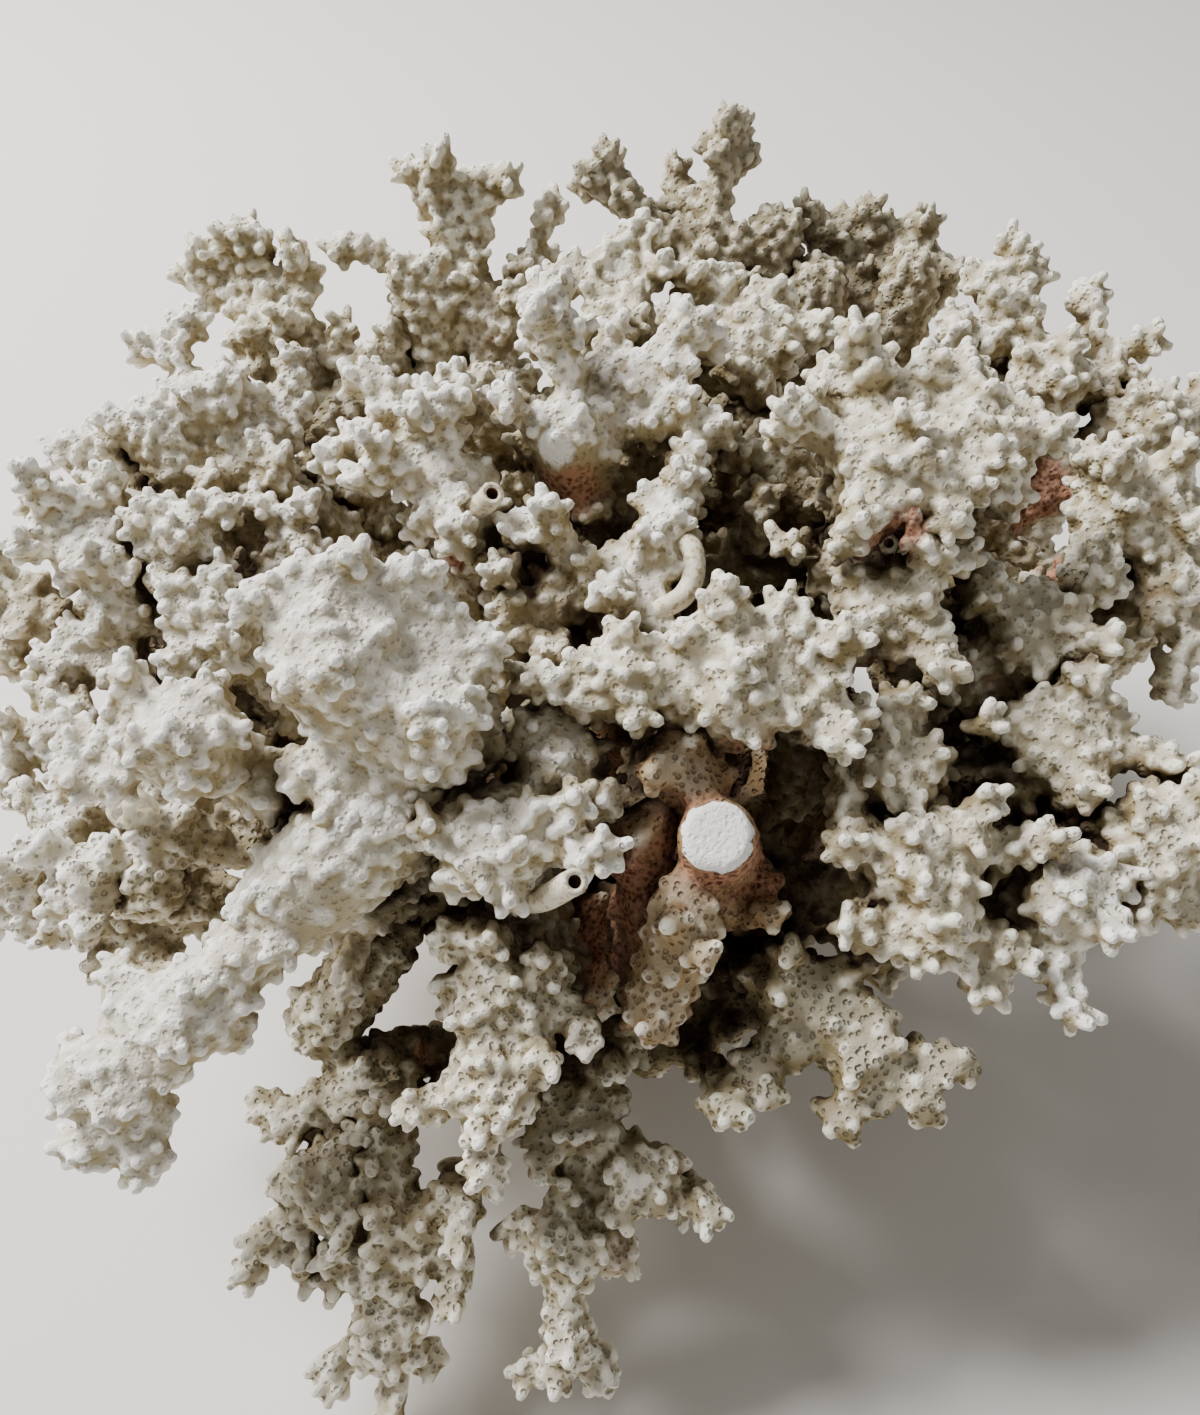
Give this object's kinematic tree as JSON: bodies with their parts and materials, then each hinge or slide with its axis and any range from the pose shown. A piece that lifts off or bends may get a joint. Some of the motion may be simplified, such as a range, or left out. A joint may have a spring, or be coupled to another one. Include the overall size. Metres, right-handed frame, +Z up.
{
  "type": "branch coral",
  "caption": "Dried, bleached branch coral colony: nine trunks fan out of a flat-cut holdfast into knobbly forked heads.",
  "frame": {"origin": "middle of the flat cut under the holdfast, which the colony stands on", "axes": "+Z up, away from the cut; -Y towards the side with the two long drooping branches; +X to the right of it"},
  "size_m": [0.2668, 0.2315, 0.1622],
  "materials": {
    "bleached": "chalky, dusty white aragonite",
    "ivory": "matt ivory aragonite with cups",
    "beige": "matt greyish beige aragonite",
    "stained": "matt aragonite, stained rust red"
  },
  "bodies": {
    "root": {"holdfast": "ivory", "trunk_front_left": "stained", "trunk_front": "stained", "trunk_front_right": "stained", "trunk_right": "stained", "trunk_rear_right": "stained", "trunk_rear": "stained", "trunk_rear_left": "stained", "trunk_left": "stained", "trunk_centre": "stained", "spread_upper": "bleached", "spread_left": "bleached", "spread_long": "bleached", "fringe_left": "bleached", "shade_left": "ivory", "fringe_edge": "bleached", "ledge_left": "bleached", "wing_far": "ivory", "wing_upper": "bleached", "tuft_left": "bleached", "tuft_small": "bleached", "tuft_low": "bleached", "crown_left": "ivory", "crown_side": "bleached", "tower_left": "ivory", "candelabra": "beige", "plume": "ivory", "back_fan": "beige", "mast": "ivory", "edge_upper": "ivory", "bank": "ivory", "ridge": "ivory", "flame": "bleached", "arch": "bleached", "bank_left": "ivory", "nest": "bleached", "table": "ivory", "shoulder_right": "ivory", "globe_right": "ivory", "cliff_upper": "ivory", "edge_mid": "ivory", "skirt_right": "bleached", "edge_low": "ivory", "cliff": "ivory", "snapped": "stained", "lace_fan": "ivory", "understory": "ivory", "knuckle": "bleached", "tassel": "ivory", "long_left": "ivory", "long_left_out": "ivory", "long_left_low": "ivory", "long_middle": "ivory", "rear_low_left": "ivory", "side_rear_left": "ivory", "rear_low": "ivory", "rear_skirt": "ivory", "rear_low_right": "ivory", "side_rear_right": "ivory"}
  },
  "joints": []
}
